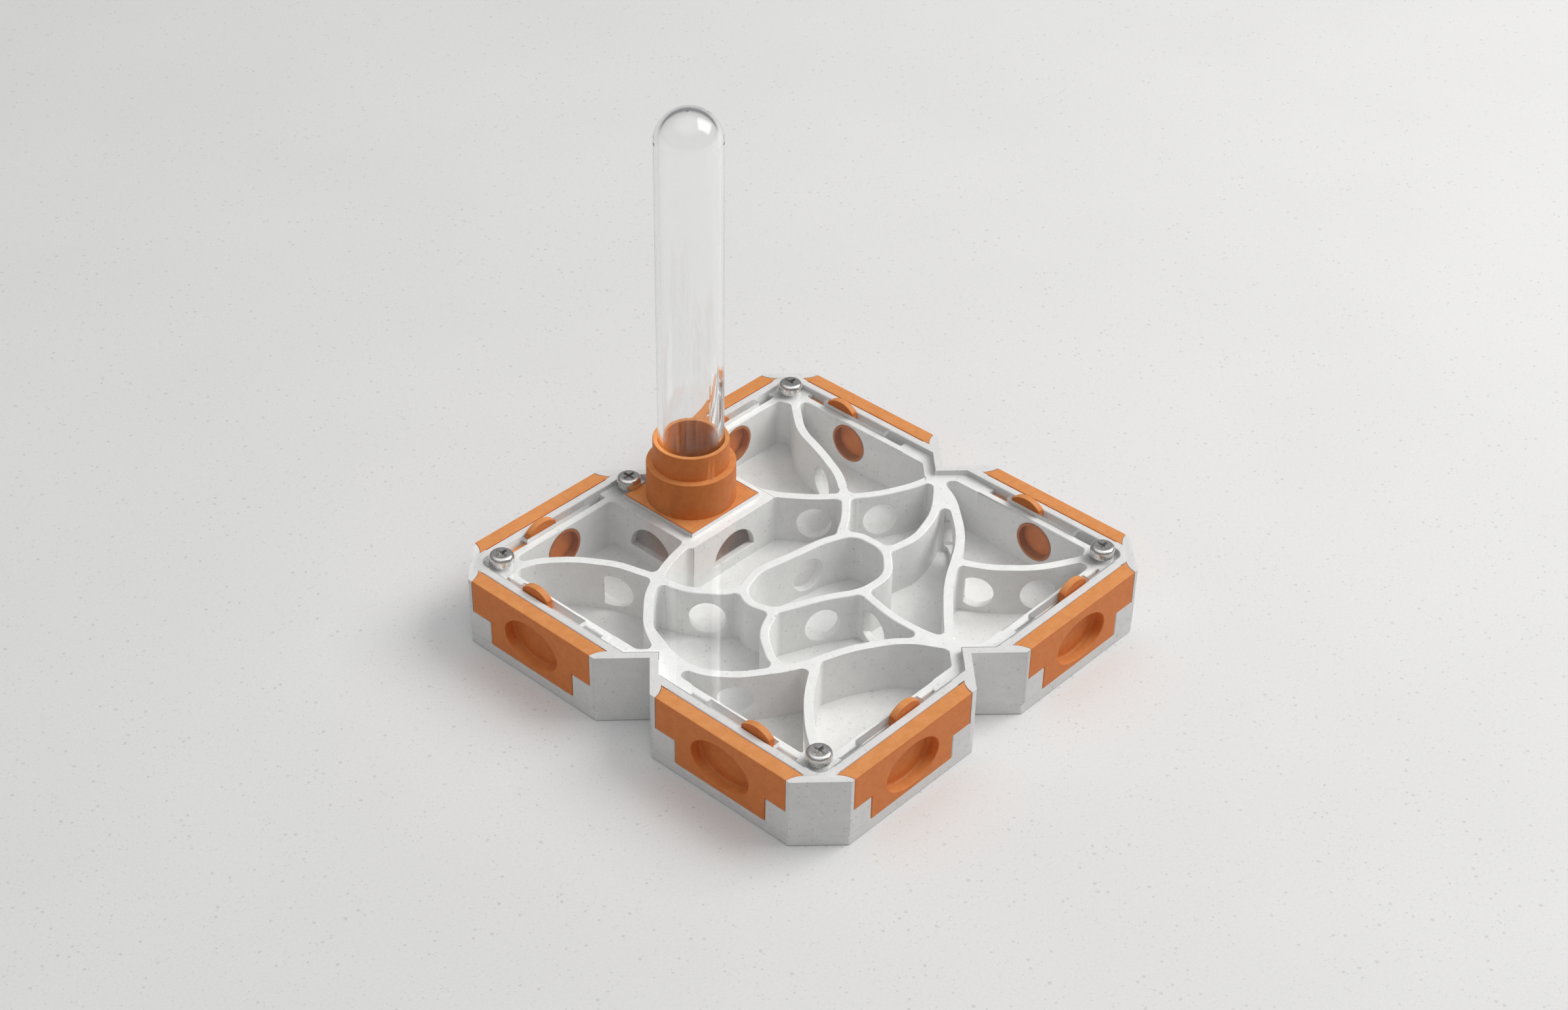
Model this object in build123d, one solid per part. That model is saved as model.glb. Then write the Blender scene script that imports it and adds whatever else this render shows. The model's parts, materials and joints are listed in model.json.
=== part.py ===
"""Ant habitat: a square nest of chambers under a clear lid, watered from a test tube.

Frame: millimetres, +Z up, origin at the middle of the underside. The front side faces -Y.
The nest is one printed piece in reality. Here its floor, outer walls and chamber walls are
separate solids that meet face to face, so that each of them stays a simple shape.
"""
import os
from math import radians, sqrt, tan

from build123d import *

# ---------------------------------------------------------------- driving dimensions
# Nest, from the inside out
CHAMBER_HALF = 50.0        # centre to the inner face of each side
PORT_WALL = 2.0            # wall between the chambers and the gate slot
GATE_SLOT = 2.0            # slot that a gate slides in
RIM_WALL = 2.0             # wall between the gate slot and the port cover
COVER_DEPTH = 4.0          # pocket that a port cover fills, flush with the outside

FLOOR = 3.0                # floor plate
CHAMBER_HEIGHT = 13.0      # floor to the lid's underside
LID_THICKNESS = 2.5
CHAMBER_WALL = 2.2         # curved walls between the chambers
JUNCTION_FILLET = 1.5      # where two walls meet, seen from above
BEND_SHARE = 0.4           # part of the shorter run that each bend of a wall takes up
CORNER_CHAMFER = 9.4       # leg of the cut-off outer corners
NOTCH_DEPTH = 8.9          # right-angled notch in the middle of each side
NOTCH_WALL = 4.6           # wall behind the faces of that notch
LID_RIM = 1.9              # rim outside the lid at those notches
LID_CORNER_RADIUS = 3.0
LID_CLEARANCE = 0.2

# Port covers
COVER_GAP = 21.0           # between two covers, at the outer face
COVER_DOVETAIL = 1.9       # how much wider each end is at the inner face
COVER_HOLLOW = 0.45        # how deep each end is hollowed, as an arc
TONGUE_STEP = 6.0          # how much narrower each end of the lower tongue is
TONGUE_HEIGHT = 6.5
COVER_CLEARANCE = 0.15
DISH_HALF_WIDTH = 8.7      # oval finger dish
DISH_HALF_HEIGHT = 5.8
DISH_DEPTH = 3.0
DISH_ROUND = 0.7           # fillet round the dish's flat bottom

# Ports and gates
PORT_DIAMETER = 9.0
PORT_HEIGHT = 10.0         # port axis above the underside
PORT_LINING = 0.6          # thickness of the port's lining
GATE_THICKNESS = 1.6
GATE_LENGTH = 21.0
GATE_TRAVEL = 9.6
GATE_FOOT = 4.5            # gate's lower edge above the underside
GATE_HEAD = 15.0           # gate's upper edge above the underside, beside its tab
GATE_CLEARANCE = 0.2
SLOT_END = 0.3             # play at each end of the slot
TAB_THICKNESS = 1.8
TAB_LENGTH = 8.4
TAB_RISE = 2.2             # middle of the tab's arched top above the lid
TAB_END_RISE = 0.4         # its ends above the lid
TAB_NOTCH_HALF = 10.2      # half width of the lid's notch round a tab

# Screws
SCREW_SHANK = 2.9
SCREW_HOLE = 3.4
SCREW_HEAD = 6.0
SCREW_HEAD_HEIGHT = 2.4
SCREW_HEAD_ROUND = 1.0
SCREW_LENGTH = 10.0
SCREW_END = 1.0            # hole below the screw's end
SCREW_POST = 9.0           # post round each screw
RECESS_WIDTH = 0.8         # cross recess
RECESS_SPAN = 3.4
RECESS_DEPTH = 1.3
BACK_SCREW_X = 7.6         # pair of screws beside the back notch
BACK_SCREW_OUT = 0.6       # their axes behind the chambers' back face

# Well, tube socket and test tube
SOCKET_IN = 13.2           # socket axis in front of the chambers' back face
FLANGE_SIDE = 22.6
FLANGE_CLEARANCE = 0.3
LID_SPLIT_HALF = 3.0       # lid cut through behind the flange
SOCKET_BASE = 21.8
SOCKET_BASE_HEIGHT = 10.1
COLLAR = 18.5
COLLAR_HEIGHT = 6.6
TUBE_DIAMETER = 16.0
TUBE_WALL = 1.2
TUBE_LENGTH = 100.0
TUBE_CLEARANCE = 0.1       # running fit, on the radius
TUBE_SEAT = 4.5            # ledge in the socket above the lid's top
WATERWAY = 13.2            # bore under that ledge
WELL_HALF = 14.1           # outer half width of the well
WELL_FRONT = 14.5          # socket axis to the well's front face
WELL_WALL = 1.8
WELL_LEDGE = 2.0           # thickness of the ledge under the flange
WELL_LEDGE_WIDTH = 2.3     # its reach inwards, with a 45 degree underside
WELL_SILL = 3.0            # sill of each arch above the floor
ARCH_RADIUS = 6.9

# Ant holes in the chamber walls
ANT_HOLE = 8.6
ANT_HOLE_HEIGHT = 8.7      # hole axis above the underside
ANT_HOLE_LENGTH = 6.0      # long enough to pass through a wall aslant

# Chamber walls: points of each centre line, drawn for a nest with this half width
DRAWN_HALF = 50.0
WALL_LINES = {
    "wall_ring": [(-17.7, 3.2), (-10.1, 5.7), (-1.3, 3.9), (9.6, 2.1), (17.0, -1.2),
                  (17.4, -11.0), (10.1, -17.9), (1.4, -17.6), (-6.8, -12.4), (-18.4, -7.6),
                  (-20.2, -1.5)],
    "wall_left_middle": [(-52.0, -3.0), (-46.5, 1.6), (-42.2, 9.7), (-34.1, 17.3),
                         (-28.1, 20.6)],
    "wall_front_left": [(-42.7, 8.5), (-46.1, -1.0), (-46.6, -6.5), (-45.1, -11.6),
                        (-40.8, -17.2), (-30.5, -24.6), (-16.6, -29.2), (-7.9, -34.5),
                        (-4.1, -38.3), (0.5, -46.5)],
    "wall_back_left_corner": [(-52.0, 48.0), (-43.5, 45.8), (-36.5, 39.5), (-31.0, 31.0),
                              (-29.2, 24.5), (-28.1, 20.6)],
    "wall_front_left_corner": [(-50.0, -51.0), (-43.9, -42.1), (-35.7, -33.9),
                               (-24.5, -26.5)],
    "wall_well_left": [(-29.5, 20.0), (-21.5, 23.1), (-12.0, 25.1)],
    "wall_ring_to_left": [(-28.6, 22.5), (-27.1, 13.0), (-21.0, 5.3), (-17.2, 3.4)],
    "wall_ring_to_front_left": [(-17.8, -7.3), (-25.9, -11.0), (-31.3, -18.7),
                                (-32.0, -22.9)],
    "wall_ring_to_front": [(1.2, -17.3), (-1.0, -28.5), (-0.8, -36.5), (0.9, -45.0)],
    "wall_front_right": [(-0.6, -45.7), (7.4, -38.3), (17.2, -30.1), (33.0, -21.4),
                         (43.5, -9.5), (47.0, -1.5), (52.0, 1.0)],
    "wall_front_right_corner": [(25.1, -26.3), (28.7, -33.4), (36.3, -41.6),
                                (51.0, -49.5)],
    "wall_ring_to_right": [(16.4, -11.2), (25.4, -13.2), (36.3, -10.1), (48.0, -1.5)],
    "wall_ring_to_fork": [(14.8, 1.2), (20.0, 4.4), (27.5, 10.9)],
    "wall_well_right": [(27.2, 9.6), (20.4, 15.7), (15.0, 23.0), (13.0, 28.0)],
    "wall_back_right_corner": [(25.6, 9.4), (31.8, 16.8), (36.4, 27.2), (39.6, 37.0),
                               (50.0, 49.0)],
    "wall_right_middle": [(25.4, 10.6), (33.2, 4.8), (42.0, 0.8), (52.0, -0.6)],
}

# Ant holes: the wall, then where each axis crosses the plan and its heading in degrees
ANT_HOLES = {
    "wall_back_left_corner": [(-31.0, 30.5, -15)],
    "wall_ring_to_left": [(-24.0, 8.3, 45)],
    "wall_ring": [(-7.2, -12.3, 60), (4.1, 2.9, 80)],
    "wall_well_right": [(20.8, 15.3, 45)],
    "wall_right_middle": [(33.2, 4.8, 60)],
    "wall_front_right_corner": [(27.3, -30.8, 20), (36.6, -41.8, 55)],
    "wall_front_left": [(-41.2, -16.9, 30)],
    "wall_back_right_corner": [(35.5, 24.0, -20)],
    "wall_ring_to_front": [(-0.2, -22.5, 5)],
    "wall_front_right": [(40.6, -14.0, -40)],
    "wall_front_left_corner": [(-40.5, -38.2, -45)],
}

# ---------------------------------------------------------------- sizes that follow
SLOT_INNER = CHAMBER_HALF + PORT_WALL
RIM_INNER = SLOT_INNER + GATE_SLOT
POCKET_FACE = RIM_INNER + RIM_WALL
BASE_HALF = POCKET_FACE + COVER_DEPTH
MODULE = BASE_HALF / 2                     # middle of each of a side's two modules
COVER_HALF = MODULE - COVER_GAP / 2        # half width of a cover at the outer face
TONGUE_HALF = COVER_HALF - TONGUE_STEP
NOTCH_APEX = BASE_HALF - NOTCH_DEPTH
LID_BOTTOM = FLOOR + CHAMBER_HEIGHT
LID_TOP = LID_BOTTOM + LID_THICKNESS
SHOULDER = FLOOR + TONGUE_HEIGHT           # where the wide part of a cover rests
GATE_INNER = SLOT_INNER + GATE_CLEARANCE
GATE_OUTER = GATE_INNER + GATE_THICKNESS
TAB_INNER = GATE_OUTER - TAB_THICKNESS
TAB_SHIFT = GATE_TRAVEL / 2                # tab to port axis, gate open or closed
SLOT_HALF = GATE_LENGTH / 2 + TAB_SHIFT + SLOT_END
LINING_DIAMETER = PORT_DIAMETER + 2 * PORT_LINING
PLAN_SCALE = CHAMBER_HALF / DRAWN_HALF
SOCKET_Y = CHAMBER_HALF - SOCKET_IN
BACK_SCREW_Y = CHAMBER_HALF + BACK_SCREW_OUT
COLLAR_BOTTOM = LID_TOP + SOCKET_BASE_HEIGHT
COLLAR_TOP = COLLAR_BOTTOM + COLLAR_HEIGHT
TUBE_BOTTOM = LID_TOP + TUBE_SEAT
WELL_FACE = SOCKET_Y - WELL_FRONT
FAR = 2 * BASE_HALF                        # further out than any part of the nest
TOUCHING = 0.001                           # solids this close share a face
CORNER_SCREWS = [(x, y) for x in (-CHAMBER_HALF, CHAMBER_HALF) for y in (-CHAMBER_HALF, CHAMBER_HALF)]
SCREW_PLACES = CORNER_SCREWS + [(-BACK_SCREW_X, BACK_SCREW_Y), (BACK_SCREW_X, BACK_SCREW_Y)]
SIDES = {"front": 0, "right": 90, "back": 180, "left": 270}

# Modules: name, side, and -1 or 1 for the first or second on that side, anticlockwise
MODULES = [("front_left", "front", -1), ("front_right", "front", 1),
           ("right_front", "right", -1), ("right_back", "right", 1),
           ("back_right", "back", -1), ("back_left", "back", 1),
           ("left_back", "left", -1), ("left_front", "left", 1)]
OPEN_GATES = ["left_back"]                 # the other gates stand closed
CORNERS = {"front": "front_right", "right": "back_right", "back": "back_left", "left": "front_left"}


# ---------------------------------------------------------------- helpers
def block(x0, x1, y0, y1, z0, z1):
    """Box between two corners."""
    corner = (Align.MIN, Align.MIN, Align.MIN)
    return Pos(x0, y0, z0) * Box(x1 - x0, y1 - y0, z1 - z0, align=corner)


def post(x, y, diameter, z0, z1):
    """Upright cylinder."""
    upright = (Align.CENTER, Align.CENTER, Align.MIN)
    return Pos(x, y, z0) * Cylinder(diameter / 2, z1 - z0, align=upright)


def bar(x, y, z, heading, diameter, length):
    """Level cylinder centred on a point, with its axis at a heading in the plan."""
    return Pos(x, y, z) * Rot(0, 0, heading) * Rot(0, 90, 0) * Cylinder(diameter / 2, length)


def prism(face, z0, z1):
    """Face of the plan raised between two heights."""
    return extrude(Pos(0, 0, z0) * face, amount=z1 - z0, dir=(0, 0, 1))


def on_side(side, shape):
    """Shape drawn on the front side, turned to one of the four sides."""
    return Rot(0, 0, SIDES[side]) * shape


def nest_outline(side_inset=0.0, notch_inset=0.0, cut_corners=True):
    """Square with a right-angled notch in the middle of each side and its corners cut off."""
    side = BASE_HALF - side_inset
    apex = NOTCH_APEX - notch_inset * sqrt(2)
    points = [(0, -apex), (side - apex, -side)]
    if cut_corners:
        points += [(side - CORNER_CHAMFER, -side), (side, CORNER_CHAMFER - side)]
    else:
        points += [(side, -side)]
    points += [(side, apex - side)]
    outline = []
    for turn in SIDES.values():
        outline += [Vector(*point).rotate(Axis.Z, turn) for point in points]
    return make_face(Polyline(*outline, close=True))


def lid_outline(clearance):
    """Outline of the lid's recess, or of the lid inside it."""
    outline = nest_outline(BASE_HALF - RIM_INNER + clearance, LID_RIM + clearance, False)
    corners = [point for point in outline.vertices() if abs(abs(point.X) - abs(point.Y)) < 0.001]
    return fillet(corners, LID_CORNER_RADIUS - clearance)


def bend_radii(points, closed):
    """Radius at each bend of a route, as large as its two runs allow."""
    corners = range(len(points)) if closed else range(1, len(points) - 1)
    radii = []
    for corner in corners:
        before = points[corner] - points[corner - 1]
        after = points[(corner + 1) % len(points)] - points[corner]
        shorter = min(before.length, after.length)
        radii.append(BEND_SHARE * shorter / tan(radians(before.get_angle(after)) / 2))
    return radii


def ribbon(name, width):
    """Band along a chamber wall's centre line, seen from above."""
    points = [Vector(x, y) * PLAN_SCALE for x, y in WALL_LINES[name]]
    closed = name == "wall_ring"
    route = FilletPolyline(*points, radius=bend_radii(points, closed), close=closed).wire()
    if closed:
        outer, inner = (make_face(route.offset_2d(reach)) for reach in (width / 2, -width / 2))
        return outer - inner
    return make_face(route.offset_2d(width / 2, side=Side.BOTH))


def write(name, *solids):
    """One STEP file, named after its node."""
    shape = solids[0] if len(solids) == 1 else Compound(children=solids)
    shape.label = name
    export_step(shape, f"parts/{name}.step")
    print(name, round(shape.volume, 1))


# ---------------------------------------------------------------- chambers
def chamber_region(inset=0.0):
    """Plan of the space inside the side walls, less the screw posts, drawn in by an inset."""
    region = nest_outline(BASE_HALF - CHAMBER_HALF + inset, NOTCH_WALL + inset, False)
    for x, y in SCREW_PLACES:
        region -= Pos(x, y) * Circle(SCREW_POST / 2 + inset)
    return region


def well_plan(margin=0.0):
    """Plan of the well's outside and a margin round it, from its front face to behind the nest."""
    depth = BASE_HALF - WELL_FACE + margin
    return Pos(0, BASE_HALF - depth / 2) * Rectangle(2 * (WELL_HALF + margin), depth)


def chamber_plans():
    """Plans of the chambers, with rounded corners where walls meet.

    Each is first cut out narrower by the corner's radius on every side, and then widened by it.
    """
    space = chamber_region(JUNCTION_FILLET) - well_plan(JUNCTION_FILLET)
    for name in WALL_LINES:
        space -= ribbon(name, CHAMBER_WALL + 2 * JUNCTION_FILLET)
    return [offset(cell, JUNCTION_FILLET) for cell in space.faces()]


def split_walls(material):
    """Chamber walls with their fillets, one solid each, cut from all that stands there."""
    walls = {}
    scraps = []
    for name in WALL_LINES:
        reach = ribbon(name, CHAMBER_WALL + 2 * JUNCTION_FILLET)
        pieces = prism(material & reach, FLOOR, LID_BOTTOM).solids().sort_by(SortBy.VOLUME)
        material -= reach
        walls[name] = pieces[-1]
        scraps += pieces[:-1]
    for scrap in scraps:
        beside = [name for name, wall in walls.items() if wall.distance_to(scrap) < TOUCHING]
        if beside:
            walls[beside[0]] += scrap
    return walls


def drill_ant_holes(name, wall):
    """Chamber wall with its ant holes."""
    for x, y, heading in ANT_HOLES.get(name, []):
        wall -= bar(x * PLAN_SCALE, y * PLAN_SCALE, ANT_HOLE_HEIGHT, heading,
                    ANT_HOLE, ANT_HOLE_LENGTH)
    return wall


def make_well(region):
    """Three walls with arches, under a ledge that carries the tube socket."""
    well = prism(region & well_plan(), FLOOR, LID_BOTTOM)
    inner_half = WELL_HALF - WELL_WALL
    inner_front = WELL_FACE + WELL_WALL
    depth = FAR - inner_front
    inside = Pos(0, inner_front + depth / 2) * Rectangle(2 * inner_half, depth)
    slope_bottom = LID_BOTTOM - WELL_LEDGE - WELL_LEDGE_WIDTH
    mouth_half = inner_half - WELL_LEDGE_WIDTH
    mouth = block(-mouth_half, mouth_half, inner_front + WELL_LEDGE_WIDTH, BASE_HALF,
                  slope_bottom, LID_BOTTOM)
    slope = extrude(Pos(0, 0, slope_bottom) * inside, amount=WELL_LEDGE_WIDTH, taper=45)
    well -= prism(inside, FLOOR, slope_bottom) + slope + mouth
    sill = FLOOR + WELL_SILL
    arches = bar(0, WELL_FACE, sill, 90, 2 * ARCH_RADIUS, 2 * WELL_LEDGE_WIDTH)
    arches += bar(0, SOCKET_Y, sill, 0, 2 * ARCH_RADIUS, 2 * WELL_HALF)
    return well - (arches - block(-FAR, FAR, -FAR, FAR, 0, sill))


# ---------------------------------------------------------------- outer walls
def cover_plan(centre, inner_face, grow):
    """Plan of a port cover's wide part, whose ends are dovetailed and hollow."""
    outer = COVER_HALF + grow
    inner = outer + COVER_DOVETAIL
    waist = (outer + inner) / 2 - COVER_HOLLOW
    middle = (BASE_HALF + inner_face) / 2
    front = Line((centre - outer, -BASE_HALF), (centre + outer, -BASE_HALF))
    back = Line((centre + inner, -inner_face), (centre - inner, -inner_face))
    right = ThreePointArc(front @ 1, (centre + waist, -middle), back @ 0)
    left = ThreePointArc(back @ 1, (centre - waist, -middle), front @ 0)
    return make_face(front + right + back + left)


def module_cuts(centre):
    """What one module takes out of the front side: gate slot, cover pocket and port."""
    slot = block(centre - SLOT_HALF, centre + SLOT_HALF, -RIM_INNER, -SLOT_INNER,
                 GATE_FOOT - GATE_CLEARANCE, LID_TOP)
    pocket = prism(cover_plan(centre, POCKET_FACE, COVER_CLEARANCE), SHOULDER, LID_TOP)
    half = TONGUE_HALF + COVER_CLEARANCE
    pocket += block(centre - half, centre + half, -BASE_HALF, -POCKET_FACE, FLOOR, SHOULDER)
    seat = bar(centre, -(CHAMBER_HALF + SLOT_INNER) / 2, PORT_HEIGHT, 90,
               LINING_DIAMETER, PORT_WALL)
    port = bar(centre, -(RIM_INNER + POCKET_FACE) / 2, PORT_HEIGHT, 90,
               PORT_DIAMETER, RIM_WALL)
    return [slot, pocket, seat, port]


def make_outer_walls(plan, chamber_walls):
    """The four sides in one piece, with everything that is cut into them."""
    walls = prism(plan, FLOOR, LID_TOP) - prism(lid_outline(0), LID_BOTTOM, LID_TOP)
    for wall in chamber_walls.values():
        walls -= wall
    for side in SIDES:
        for centre in (-MODULE, MODULE):
            for cut in module_cuts(centre):
                walls -= on_side(side, cut)
    for x, y in SCREW_PLACES:
        walls -= post(x, y, SCREW_HOLE, LID_TOP - SCREW_LENGTH - SCREW_END, LID_BOTTOM)
    return walls


def middle_zone():
    """Zone of the front side between its two modules, round the notch."""
    behind = MODULE - SLOT_HALF - CHAMBER_WALL
    beside = MODULE - COVER_HALF - COVER_CLEARANCE
    zone = block(-behind, behind, -RIM_INNER, 0, 0, FAR)
    return zone + block(-beside, beside, -FAR, -RIM_INNER, 0, FAR)


def corner_zone():
    """Zone of the corner at the right end of the front side, round its screw post."""
    behind = MODULE + SLOT_HALF + SLOT_END
    beside = MODULE + COVER_HALF + COVER_CLEARANCE
    around = CHAMBER_HALF - SCREW_POST / 2 - SLOT_END
    zone = block(behind, RIM_INNER, -RIM_INNER, -behind, 0, FAR)
    zone += block(around, SLOT_INNER, -SLOT_INNER, -around, 0, FAR)
    return zone + block(beside, FAR, -FAR, -beside, 0, FAR)


def split_outer_walls(walls):
    """Outer walls as four corners, four middles and eight straight modules."""
    pieces = {}
    rest = walls
    for side in SIDES:
        for name, zone in ((f"middle_{side}", middle_zone()),
                           (f"corner_{CORNERS[side]}", corner_zone())):
            pieces[name] = walls & on_side(side, zone)
            rest -= on_side(side, zone)
    for name, side, hand in MODULES:
        centre = Vector(hand * MODULE, -RIM_INNER, PORT_HEIGHT).rotate(Axis.Z, SIDES[side])
        nearest = min(rest.solids(), key=lambda solid: (solid.center() - centre).length)
        pieces[f"side_{name}"] = nearest
    return pieces


# ---------------------------------------------------------------- loose pieces
def make_port_linings():
    """Rings pressed into the ports of the inner wall."""
    rings = []
    for _, side, hand in MODULES:
        place = (hand * MODULE, -(CHAMBER_HALF + SLOT_INNER) / 2, PORT_HEIGHT, 90)
        ring = bar(*place, LINING_DIAMETER, PORT_WALL) - bar(*place, PORT_DIAMETER, PORT_WALL)
        rings.append(on_side(side, ring))
    return rings


def make_cover(side, hand):
    """Port cover: dovetailed plate on a narrower tongue, with an oval finger dish."""
    centre = hand * MODULE
    inner_face = POCKET_FACE + COVER_CLEARANCE
    cover = prism(cover_plan(centre, inner_face, 0), SHOULDER, LID_TOP)
    cover += block(centre - TONGUE_HALF, centre + TONGUE_HALF, -BASE_HALF, -inner_face,
                   FLOOR, SHOULDER)
    dish = extrude(Plane.XZ * Ellipse(DISH_HALF_WIDTH, DISH_HALF_HEIGHT), amount=-DISH_DEPTH)
    dish = fillet(dish.edges().group_by(Axis.Y)[-1], DISH_ROUND)
    return on_side(side, cover - Pos(centre, -BASE_HALF, PORT_HEIGHT) * dish)


def make_gate(name, side, hand):
    """Gate: plate with a window, and a tab that stands up through the lid's edge."""
    shift = -TAB_SHIFT if name in OPEN_GATES else TAB_SHIFT
    tab_x = hand * MODULE + shift
    half = GATE_LENGTH / 2
    tab_bottom = LID_BOTTOM + GATE_CLEARANCE
    gate = block(tab_x - half, tab_x + half, -GATE_OUTER, -GATE_INNER, GATE_FOOT, GATE_HEAD)
    end = TAB_LENGTH / 2
    gate += block(tab_x - end, tab_x + end, -GATE_OUTER, -GATE_INNER, GATE_HEAD, tab_bottom)
    shoulder = LID_TOP + TAB_END_RISE
    sides = Polyline((-end, shoulder), (-end, tab_bottom), (end, tab_bottom), (end, shoulder))
    top = ThreePointArc((end, shoulder), (0, LID_TOP + TAB_RISE), (-end, shoulder))
    tab = extrude(Plane.XZ * make_face(sides + top), amount=TAB_THICKNESS, dir=(0, 1, 0))
    gate += Pos(tab_x, -GATE_OUTER, 0) * tab
    gate -= bar(tab_x + TAB_SHIFT, -GATE_OUTER, PORT_HEIGHT, 90,
                PORT_DIAMETER, 2 * GATE_SLOT)
    return on_side(side, gate)


def make_lid():
    """Clear plate with notches for the tabs, screw holes and a cut-out for the flange."""
    lid = prism(lid_outline(LID_CLEARANCE), LID_BOTTOM, LID_TOP)
    notch_inner = TAB_INNER - GATE_CLEARANCE
    for _, side, hand in MODULES:
        centre = hand * MODULE
        lid -= on_side(side, block(centre - TAB_NOTCH_HALF, centre + TAB_NOTCH_HALF,
                                   -BASE_HALF, -notch_inner, LID_BOTTOM, LID_TOP))
    for x, y in SCREW_PLACES:
        lid -= post(x, y, SCREW_HOLE, LID_BOTTOM, LID_TOP)
    half = FLANGE_SIDE / 2 + FLANGE_CLEARANCE
    lid -= block(-half, half, SOCKET_Y - half, SOCKET_Y + half, LID_BOTTOM, LID_TOP)
    lid -= block(-LID_SPLIT_HALF, LID_SPLIT_HALF, SOCKET_Y, BASE_HALF, LID_BOTTOM, LID_TOP)
    return lid


def make_screw(x, y):
    """Pan head with a cross recess, and a plain shank."""
    head_top = LID_TOP + SCREW_HEAD_HEIGHT
    head = post(x, y, SCREW_HEAD, LID_TOP, head_top)
    head = fillet(head.edges().group_by(Axis.Z)[-1], SCREW_HEAD_ROUND)
    for across, along in ((RECESS_WIDTH, RECESS_SPAN), (RECESS_SPAN, RECESS_WIDTH)):
        head -= block(x - across / 2, x + across / 2, y - along / 2, y + along / 2,
                      head_top - RECESS_DEPTH, head_top)
    return head + post(x, y, SCREW_SHANK, LID_TOP - SCREW_LENGTH, LID_TOP)


def make_socket():
    """Tube socket: flange in the lid's cut-out, round base, and collar with a ledge inside."""
    half = FLANGE_SIDE / 2
    socket = block(-half, half, SOCKET_Y - half, SOCKET_Y + half, LID_BOTTOM, LID_TOP)
    socket += post(0, SOCKET_Y, SOCKET_BASE, LID_TOP, COLLAR_BOTTOM)
    socket += post(0, SOCKET_Y, COLLAR, COLLAR_BOTTOM, COLLAR_TOP)
    socket -= post(0, SOCKET_Y, WATERWAY, LID_BOTTOM, COLLAR_TOP)
    bore = TUBE_DIAMETER + 2 * TUBE_CLEARANCE
    return socket - post(0, SOCKET_Y, bore, TUBE_BOTTOM, COLLAR_TOP)


def make_tube():
    """Test tube, open end down, with a domed end."""
    shell = []
    for radius in (TUBE_DIAMETER / 2, TUBE_DIAMETER / 2 - TUBE_WALL):
        dome = TUBE_BOTTOM + TUBE_LENGTH - TUBE_DIAMETER / 2
        solid = post(0, SOCKET_Y, 2 * radius, TUBE_BOTTOM, dome)
        shell.append(solid + Pos(0, SOCKET_Y, dome) * Sphere(radius))
    return shell[0] - shell[1]


# ---------------------------------------------------------------- the whole habitat
def main():
    os.makedirs("parts", exist_ok=True)
    region = chamber_region()
    cells = chamber_plans()
    material = region - well_plan()
    plan = nest_outline() - (region & well_plan())
    for cell in cells:
        material -= cell
        plan -= cell
    chamber_walls = split_walls(material)

    write("floor", prism(nest_outline(), 0, FLOOR))
    for name, wall in chamber_walls.items():
        write(name, drill_ant_holes(name, wall))
    write("well", make_well(region))
    for name, piece in split_outer_walls(make_outer_walls(plan, chamber_walls)).items():
        write(name, piece)
    write("port_linings", *make_port_linings())
    for name, side, hand in MODULES:
        write(f"cover_{name}", make_cover(side, hand))
        write(f"gate_{name}", make_gate(name, side, hand))
    write("lid", make_lid())
    write("screws", *(make_screw(x, y) for x, y in SCREW_PLACES))
    write("tube_socket", make_socket())
    write("test_tube", make_tube())


main()
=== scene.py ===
"""Looks of the ant habitat: finishes, softened print edges, floor, light and camera.

Metres, +Z up, origin at the middle of the underside, as in the CAD frame.
"""
import json
import math

import bmesh
import bpy
from mathutils import Matrix, Vector
from mathutils.bvhtree import BVHTree
from mathutils.geometry import area_tri


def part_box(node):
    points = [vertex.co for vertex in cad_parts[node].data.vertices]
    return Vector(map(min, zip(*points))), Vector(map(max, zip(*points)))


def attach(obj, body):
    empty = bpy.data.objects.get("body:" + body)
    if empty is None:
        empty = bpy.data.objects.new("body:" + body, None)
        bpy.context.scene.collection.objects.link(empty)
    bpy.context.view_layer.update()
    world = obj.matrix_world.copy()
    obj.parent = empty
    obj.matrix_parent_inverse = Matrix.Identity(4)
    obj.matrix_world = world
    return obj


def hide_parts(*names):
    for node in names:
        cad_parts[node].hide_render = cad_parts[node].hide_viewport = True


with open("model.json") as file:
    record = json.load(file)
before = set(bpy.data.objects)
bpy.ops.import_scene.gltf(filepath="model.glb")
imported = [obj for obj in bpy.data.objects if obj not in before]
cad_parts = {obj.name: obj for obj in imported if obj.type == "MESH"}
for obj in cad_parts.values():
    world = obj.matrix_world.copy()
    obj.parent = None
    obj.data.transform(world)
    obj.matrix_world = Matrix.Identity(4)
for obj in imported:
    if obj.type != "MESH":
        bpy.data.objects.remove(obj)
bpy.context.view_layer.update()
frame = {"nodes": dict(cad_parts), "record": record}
nodes = frame["nodes"]
body_of_node = {n: b for b, members in frame["record"]["behaviour"]["bodies"].items() for n in members}
slot_of_node = {s["node"]: s["material_slot"] for s in frame["record"]["subparts"]}

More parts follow.
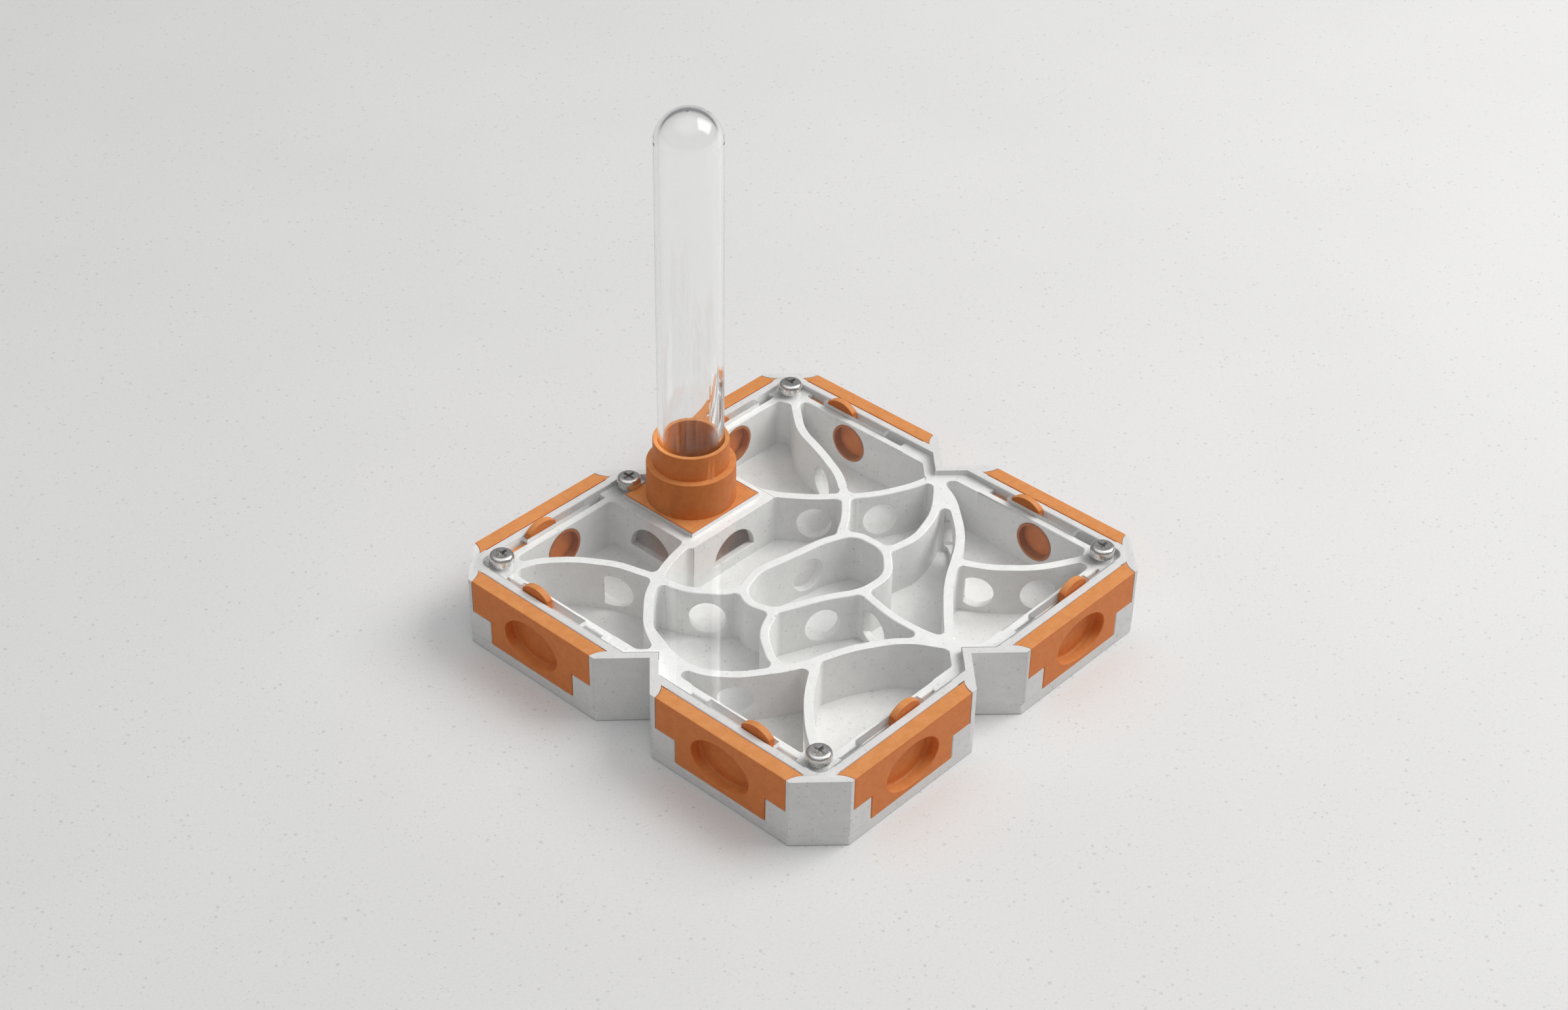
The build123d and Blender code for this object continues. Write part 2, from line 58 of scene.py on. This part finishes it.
MM = 0.001
NEST_EDGE = 0.34 * MM        # rounding of the nest's open edges
ORANGE_EDGE = 0.22 * MM      # rounding of the covers', gates' and socket's edges
AIR_GAP = 0.03 * MM          # hair of air between the chamber walls and the lid's underside
SHARP = math.radians(32)     # edges that turn more than this are rounded
CREASE = math.radians(40)    # edges that turn more than this stay creased in the shading
FLAT = math.radians(0.6)     # faces that turn less than this are one flat face
WELD = 0.002 * MM            # corners closer than this are one corner
PROBE = 0.06 * MM            # how far beside an edge, or above the lid's underside, is looked
NARROWER = (1.0, 0.75, 0.5, 0.3, 0.15)   # shares of the rounding, tried until no face folds
ROUND_STEPS = 3              # faces across a rounded edge
FOLD_AREA = 0.05 * MM * MM   # area by which a face's triangles may differ from the face
LAYER = 0.28                 # height of a print layer, in millimetres
LINING_PAINTED_SHADE_FACTOR = 0.62          # the port linings' orange is darkened to this share: painted shade on the walls of the port holes
GROUND_HALF = 4.0            # half the side of the floor


# ---------------------------------------------------------------- node helpers
class Finish:
    """A material and short ways to add nodes to it. Textures are in millimetres of the row frame."""

    def __init__(self, name):
        self.material = bpy.data.materials.new(name)
        self.material.use_nodes = True
        self.tree = self.material.node_tree
        self.shader = self.tree.nodes["Principled BSDF"]
        self.output = self.tree.nodes["Material Output"]
        place = self.node("ShaderNodeTexCoord")
        scaled = self.node("ShaderNodeVectorMath", operation="SCALE")
        scaled.inputs["Scale"].default_value = 1000.0
        self.link(place.outputs["Object"], scaled.inputs[0])
        self.place = scaled.outputs[0]

    def node(self, kind, **settings):
        made = self.tree.nodes.new(kind)
        for name, value in settings.items():
            setattr(made, name, value)
        return made

    def link(self, a, b):
        self.tree.links.new(a, b)

    def noise(self, scale, detail=2.0, roughness=0.5, stretch=None):
        made = self.node("ShaderNodeTexNoise")
        made.inputs["Scale"].default_value = scale
        made.inputs["Detail"].default_value = detail
        made.inputs["Roughness"].default_value = roughness
        where = self.place
        if stretch:
            longer = self.node("ShaderNodeVectorMath", operation="MULTIPLY")
            longer.inputs[1].default_value = stretch
            self.link(self.place, longer.inputs[0])
            where = longer.outputs[0]
        self.link(where, made.inputs["Vector"])
        return made.outputs["Fac"]

    def spread(self, value, low, high, to_low=0.0, to_high=1.0):
        made = self.node("ShaderNodeMapRange", interpolation_type="SMOOTHSTEP")
        self.link(value, made.inputs["Value"])
        for name, number in (("From Min", low), ("From Max", high), ("To Min", to_low), ("To Max", to_high)):
            made.inputs[name].default_value = number
        return made.outputs["Result"]

    def maths(self, operation, a, b):
        made = self.node("ShaderNodeMath", operation=operation)
        for socket, value in zip(made.inputs, (a, b)):
            if isinstance(value, (int, float)):
                socket.default_value = value
            else:
                self.link(value, socket)
        return made.outputs[0]

    def mix(self, share, a, b):
        made = self.node("ShaderNodeMix", data_type="RGBA")
        if isinstance(share, (int, float)):
            made.inputs[0].default_value = share
        else:
            self.link(share, made.inputs[0])
        for socket, value in zip((made.inputs[6], made.inputs[7]), (a, b)):
            if isinstance(value, tuple):
                socket.default_value = (*value, 1.0)
            else:
                self.link(value, socket)
        return made.outputs[2]

    def specks(self, scale, size, chosen):
        """1 inside small grains.

        scale: cells per millimetre; size: a grain's radius in cells; chosen: share of cells with a grain.
        """
        cells = self.node("ShaderNodeTexVoronoi", feature="F1")
        cells.inputs["Scale"].default_value = scale
        self.link(self.place, cells.inputs["Vector"])
        split = self.node("ShaderNodeSeparateColor")
        self.link(cells.outputs["Color"], split.inputs[0])
        grain_size = self.maths("MULTIPLY", split.outputs[1], size)
        gap = self.maths("SUBTRACT", grain_size, cells.outputs["Distance"])
        grain = self.spread(gap, 0.0, 0.09)
        return self.maths("MULTIPLY", grain, self.maths("LESS_THAN", split.outputs[0], chosen))

    def layers(self, pitch, wobble=0.5):
        """The ridges of print layers, stacked along Z."""
        made = self.node("ShaderNodeTexWave", wave_type="BANDS", bands_direction="Z", wave_profile="SIN")
        made.inputs["Scale"].default_value = 2 * math.pi / (20 * pitch)
        made.inputs["Distortion"].default_value = wobble
        made.inputs["Detail"].default_value = 1.0
        made.inputs["Detail Scale"].default_value = 0.3
        self.link(self.place, made.inputs["Vector"])
        return made.outputs["Fac"]

    def level(self):
        """1 on level faces, 0 on upright ones."""
        shape = self.node("ShaderNodeNewGeometry")
        split = self.node("ShaderNodeSeparateXYZ")
        self.link(shape.outputs["True Normal"], split.inputs[0])
        return self.spread(self.maths("ABSOLUTE", split.outputs["Z"], 0.0), 0.6, 0.9)

    def bump(self, height, depth_mm, under=None):
        made = self.node("ShaderNodeBump")
        made.inputs["Strength"].default_value = 1.0
        made.inputs["Distance"].default_value = depth_mm * MM
        self.link(height, made.inputs["Height"])
        if under is not None:
            self.link(under, made.inputs["Normal"])
        return made.outputs["Normal"]

    def set(self, **values):
        for name, value in values.items():
            socket = self.shader.inputs[name.replace("_", " ")]
            if isinstance(value, bpy.types.NodeSocket):
                self.link(value, socket)
            elif isinstance(value, tuple):
                socket.default_value = (*value, 1.0)
            else:
                socket.default_value = value

    def lets_light_through(self, tint):
        """Shadow rays pass the clear solid with a slight loss, as light does."""
        light = self.node("ShaderNodeLightPath")
        through = self.node("ShaderNodeBsdfTransparent")
        through.inputs["Color"].default_value = (*tint, 1.0)
        both = self.node("ShaderNodeMixShader")
        self.link(light.outputs["Is Shadow Ray"], both.inputs["Fac"])
        self.link(self.shader.outputs[0], both.inputs[1])
        self.link(through.outputs[0], both.inputs[2])
        self.link(both.outputs[0], self.output.inputs["Surface"])


# ---------------------------------------------------------------- finishes
def speckled_print():
    """Pale grey matt print with fine stone-like grains and faint layers."""
    f = Finish("nest_print")
    cloudy = f.spread(f.noise(0.32, 4.0, 0.6), 0.3, 0.7)
    colour = f.mix(cloudy, (0.730, 0.730, 0.722), (0.775, 0.775, 0.768))
    fine = f.spread(f.noise(4.2, 3.0, 0.7), 0.35, 0.70, 0.0, 0.26)
    colour = f.mix(fine, colour, (0.60, 0.59, 0.57))
    colour = f.mix(f.maths("MULTIPLY", f.specks(0.85, 0.36, 0.50), 0.24), colour, (0.30, 0.29, 0.27))
    colour = f.mix(f.maths("MULTIPLY", f.specks(1.9, 0.42, 0.45), 0.22), colour, (0.34, 0.33, 0.31))
    ridges = f.bump(f.layers(LAYER), 0.004)
    normal = f.bump(f.noise(3.0, 4.0, 0.7), 0.03, ridges)
    f.set(Base_Color=colour, Roughness=f.spread(f.noise(1.4, 3.0), 0.3, 0.7, 0.52, 0.68), Normal=normal)
    f.shader.inputs["Specular IOR Level"].default_value = 0.32
    f.shader.inputs["IOR"].default_value = 1.46
    return f.material


def orange_print(name, painted_shade_factor=1.0):
    """Matt orange print: layers round the sides, slightly uneven colour, and a painted sheen that makes level
    faces paler; a factor below 1 darkens the whole colour as painted shade.
    """
    f = Finish(name)
    cloudy = f.spread(f.noise(0.45, 4.0, 0.6), 0.3, 0.7)
    sides = f.mix(cloudy, (0.67, 0.190, 0.042), (0.74, 0.222, 0.054))
    # Level faces take a paler orange than upright ones: painted sheen where light glances off the tops, not a
    # different plastic.
    sheen_painted_tops = f.mix(cloudy, (0.70, 0.272, 0.080), (0.77, 0.320, 0.108))
    painted_sheen_share = f.level()
    colour = f.mix(painted_sheen_share, sides, sheen_painted_tops)
    colour = f.mix(f.spread(f.noise(7.0, 2.0, 0.6), 0.35, 0.7, 0.0, 0.16), colour, (0.50, 0.150, 0.034))
    lines = f.layers(LAYER, 0.9)
    colour = f.mix(f.maths("MULTIPLY", lines, 0.07), colour, (0.80, 0.34, 0.11))
    streaks = f.noise(2.2, 2.0, 0.5, (0.22, 0.22, 1.6))
    normal = f.bump(f.noise(4.0, 3.0, 0.6), 0.022, f.bump(streaks, 0.03, f.bump(lines, 0.014)))
    # Painted shade: a factor below 1 darkens the whole colour, as for the port linings deep in their holes.
    colour = f.mix(1.0 - painted_shade_factor, colour, (0.0, 0.0, 0.0))
    f.set(Base_Color=colour, Roughness=f.spread(f.noise(1.2, 3.0), 0.3, 0.7, 0.46, 0.62), Normal=normal)
    f.shader.inputs["Specular IOR Level"].default_value = 0.34
    f.shader.inputs["IOR"].default_value = 1.46
    return f.material


def clear_sheet():
    """Clear polished sheet, slightly wavy, with pale frosted cut edges."""
    f = Finish("clear_sheet")
    face = f.level()
    f.set(Base_Color=f.mix(face, (0.93, 0.94, 0.94), (0.995, 0.998, 0.998)))
    f.set(Normal=f.bump(f.noise(0.05, 1.0), 0.02))
    polish = f.spread(f.noise(0.12, 4.0, 0.6), 0.45, 0.8, 0.0, 0.03)
    f.set(Roughness=f.maths("ADD", polish, f.spread(face, 0.0, 1.0, 0.55, 0.0)))
    f.set(Transmission_Weight=f.spread(face, 0.0, 1.0, 0.30, 1.0))
    f.shader.inputs["IOR"].default_value = 1.49
    f.lets_light_through((0.985, 0.988, 0.988))
    return f.material


def glass():
    """Clear thin glass, slightly drawn along its length."""
    f = Finish("glass")
    f.set(Base_Color=(0.995, 0.998, 0.998), Normal=f.bump(f.noise(0.12, 1.0, 0.5, (1.0, 1.0, 0.15)), 0.03))
    f.set(Roughness=f.spread(f.noise(0.2, 3.0, 0.6), 0.5, 0.85, 0.0, 0.02))
    f.shader.inputs["Transmission Weight"].default_value = 1.0
    f.shader.inputs["IOR"].default_value = 1.48
    f.lets_light_through((0.97, 0.975, 0.975))
    return f.material


def steel():
    """Bright screw steel with fine turning marks and small dents."""
    f = Finish("steel")
    colour = f.mix(f.spread(f.noise(2.5, 4.0, 0.7), 0.35, 0.7), (0.62, 0.61, 0.60), (0.78, 0.77, 0.75))
    normal = f.bump(f.noise(9.0, 2.0, 0.6), 0.012)
    f.set(Base_Color=colour, Roughness=f.spread(f.noise(3.5, 3.0), 0.3, 0.7, 0.16, 0.32), Normal=normal)
    f.shader.inputs["Metallic"].default_value = 1.0
    return f.material


def speckled_floor():
    """Plain pale floor with a very fine even grain."""
    f = Finish("floor")
    cloudy = f.spread(f.noise(0.012, 3.0, 0.5), 0.3, 0.7)
    colour = f.mix(cloudy, (0.775, 0.775, 0.772), (0.795, 0.795, 0.792))
    colour = f.mix(f.spread(f.noise(1.5, 4.0, 0.8), 0.40, 0.75, 0.0, 0.26), colour, (0.58, 0.577, 0.565))
    colour = f.mix(f.maths("MULTIPLY", f.specks(0.55, 0.30, 0.45), 0.26), colour, (0.33, 0.32, 0.31))
    colour = f.mix(f.maths("MULTIPLY", f.specks(1.3, 0.36, 0.40), 0.24), colour, (0.36, 0.355, 0.345))
    f.set(Base_Color=colour, Roughness=0.6)
    f.shader.inputs["Specular IOR Level"].default_value = 0.2
    return f.material


FINISH = {
    "nest_print": speckled_print(),
    "orange_print": orange_print("orange_print"),
    "clear_sheet": clear_sheet(),
    "glass": glass(),
    "steel": steel(),
}


# ---------------------------------------------------------------- printed pieces and the lid
def welded(node):
    """The node's mesh with its split corners joined and its flat faces whole."""
    mesh = bmesh.new()
    mesh.from_mesh(nodes[node].data)
    bmesh.ops.remove_doubles(mesh, verts=mesh.verts, dist=WELD)
    bmesh.ops.dissolve_limit(mesh, angle_limit=FLAT, verts=mesh.verts, edges=mesh.edges)
    mesh.normal_update()
    return mesh


def solid_tests(names):
    """For each node, its box and a search tree of its faces."""
    found = {}
    for name in names:
        data = nodes[name].data
        low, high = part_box(name)
        tree = BVHTree.FromPolygons([v.co for v in data.vertices], [tuple(p.vertices) for p in data.polygons])
        found[name] = (low, high, tree)
    return found


def inside(point, test):
    low, high, tree = test
    if any(point[i] < low[i] or point[i] > high[i] for i in range(3)):
        return False
    where, normal, _, _ = tree.find_nearest(point)
    return (point - where).dot(normal) < 0


def open_edges(mesh, neighbours):
    """Sharp outer edges where no neighbour meets the piece."""
    kept = []
    for edge in mesh.edges:
        if len(edge.link_faces) != 2 or edge.calc_face_angle_signed(0.0) < SHARP:
            continue
        middle = (edge.verts[0].co + edge.verts[1].co) / 2
        a, b = (face.normal for face in edge.link_faces)
        beside = (middle + a * PROBE - b * PROBE, middle + b * PROBE - a * PROBE)
        if not any(inside(p, test) for p in beside for test in neighbours):
            kept.append(edge)
    return kept


def folded(mesh):
    """True where a face doubles back over itself, as one does where its edges are rounded too wide."""
    mesh.faces.index_update()
    filled = [0.0] * len(mesh.faces)
    for corners in mesh.calc_loop_triangles():
        filled[corners[0].face.index] += area_tri(*(corner.vert.co for corner in corners))
    return any(abs(filled[face.index] - face.calc_area()) > FOLD_AREA for face in mesh.faces)


def rounded(node, width, neighbours):
    """The welded mesh with its open edges rounded by the width."""
    mesh = welded(node)
    edges = open_edges(mesh, neighbours)
    if edges:
        bmesh.ops.bevel(mesh, geom=edges, offset=width, offset_type="OFFSET", segments=ROUND_STEPS,
                        profile=0.5, affect="EDGES", clamp_overlap=False)
    return mesh


def softened(node, width, neighbours):
    """A copy of a printed piece whose open edges are slightly round, as a nozzle leaves them."""
    for share in NARROWER:
        mesh = rounded(node, width * share, neighbours)
        if not folded(mesh):
            break
        mesh.free()
    else:
        mesh = welded(node)
    for face in mesh.faces:
        face.smooth = True
    data = bpy.data.meshes.new(node + "_print")
    mesh.to_mesh(data)
    mesh.free()
    data.set_sharp_from_angle(angle=CREASE)
    data.materials.append(FINISH[slot_of_node[node]])
    piece = bpy.data.objects.new(node + "_print", data)
    bpy.context.scene.collection.objects.link(piece)
    weighted = piece.modifiers.new("weighted", "WEIGHTED_NORMAL")
    weighted.keep_sharp = True
    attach(piece, body_of_node[node])
    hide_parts(node)
    return piece


def lifted_lid():
    """A copy of the lid whose underside clears the chamber walls by a hair of air, as a laid sheet does."""
    data = nodes["lid"].data.copy()
    underside = min(v.co.z for v in data.vertices)
    for vert in data.vertices:
        if vert.co.z < underside + PROBE:
            vert.co.z += AIR_GAP
    data.materials.clear()
    data.materials.append(FINISH["clear_sheet"])
    piece = bpy.data.objects.new("lid_clear", data)
    bpy.context.scene.collection.objects.link(piece)
    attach(piece, body_of_node["lid"])
    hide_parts("lid")


nest_nodes = [n for n in nodes if slot_of_node[n] == "nest_print"]
orange_nodes = [n for n in nodes if slot_of_node[n] == "orange_print" and n != "port_linings"]
tests = solid_tests(nest_nodes)
for name in nest_nodes:
    softened(name, NEST_EDGE, [test for other, test in tests.items() if other != name])
for name in orange_nodes:
    softened(name, ORANGE_EDGE, [])
lifted_lid()
# The port linings get a darker copy of the orange: painted shade on the walls of the port holes, not a
# different plastic.
painted_shade_print = orange_print("orange_print_painted_shade", LINING_PAINTED_SHADE_FACTOR)
for name in nodes:
    if not nodes[name].hide_render:
        finish = painted_shade_print if name == "port_linings" else FINISH[slot_of_node[name]]
        nodes[name].data.materials.clear()
        nodes[name].data.materials.append(finish)

# ---------------------------------------------------------------- floor
ground = bmesh.new()
bmesh.ops.create_grid(ground, x_segments=8, y_segments=8, size=GROUND_HALF)
ground_data = bpy.data.meshes.new("ground")
ground.to_mesh(ground_data)
ground.free()
ground_data.materials.append(speckled_floor())
ground_object = bpy.data.objects.new("ground", ground_data)
bpy.context.scene.collection.objects.link(ground_object)


# ---------------------------------------------------------------- camera
CAMERA_PLACE = Vector((-0.371777, -0.328786, 0.399494))
CAMERA_RIGHT = Vector((0.677597, -0.735286, 0.014698))
CAMERA_UP = Vector((0.428347, 0.410830, 0.804825))
camera_data = bpy.data.cameras.new("camera")
camera_data.sensor_width = 36.0
camera_data.lens = 61.03
camera_data.clip_start = 0.02
camera_data.clip_end = 20.0
camera = bpy.data.objects.new("camera", camera_data)
bpy.context.scene.collection.objects.link(camera)
turn = Matrix((CAMERA_RIGHT, CAMERA_UP, CAMERA_RIGHT.cross(CAMERA_UP))).transposed()
camera.matrix_world = Matrix.Translation(CAMERA_PLACE) @ turn.to_4x4()
bpy.context.scene.camera = camera


# ---------------------------------------------------------------- light
LAMP_AIM = Vector((0, 0, 0.01))
SKY_TURN = 0.60              # height, 0 at the horizon and 1 overhead, where the sky starts to brighten
SKY_LOW = (0.24, 0.24, 0.245, 1.0)
SKY_OVERHEAD = (1.22, 1.22, 1.22, 1.0)


def lamp(name, place, size, power, colour):
    """A soft square lamp that faces the nest."""
    data = bpy.data.lights.new(name, "AREA")
    data.shape = "RECTANGLE"
    data.size, data.size_y = size
    data.energy = power
    data.color = colour
    made = bpy.data.objects.new(name, data)
    bpy.context.scene.collection.objects.link(made)
    made.location = place
    made.rotation_euler = (LAMP_AIM - Vector(place)).to_track_quat("-Z", "Y").to_euler()


lamp("key", (0.660, -0.400, 0.855), (0.75, 0.75), 7.6, (1.0, 0.99, 0.975))

world = bpy.data.worlds.new("world")
bpy.context.scene.world = world
world.use_nodes = True
sky = world.node_tree
background = sky.nodes["Background"]
where = sky.nodes.new("ShaderNodeTexCoord")
split = sky.nodes.new("ShaderNodeSeparateXYZ")
height = sky.nodes.new("ShaderNodeMapRange")
height.interpolation_type = "SMOOTHSTEP"
tone = sky.nodes.new("ShaderNodeMix")
tone.data_type = "RGBA"
height.inputs["From Min"].default_value = SKY_TURN
height.inputs["From Max"].default_value = 1.0
tone.inputs[6].default_value = SKY_LOW
tone.inputs[7].default_value = SKY_OVERHEAD
sky.links.new(where.outputs["Generated"], split.inputs[0])
sky.links.new(split.outputs["Z"], height.inputs["Value"])
sky.links.new(height.outputs["Result"], tone.inputs[0])
sky.links.new(tone.outputs[2], background.inputs["Color"])
background.inputs["Strength"].default_value = 1.0

bpy.context.scene.view_settings.view_transform = "Standard"
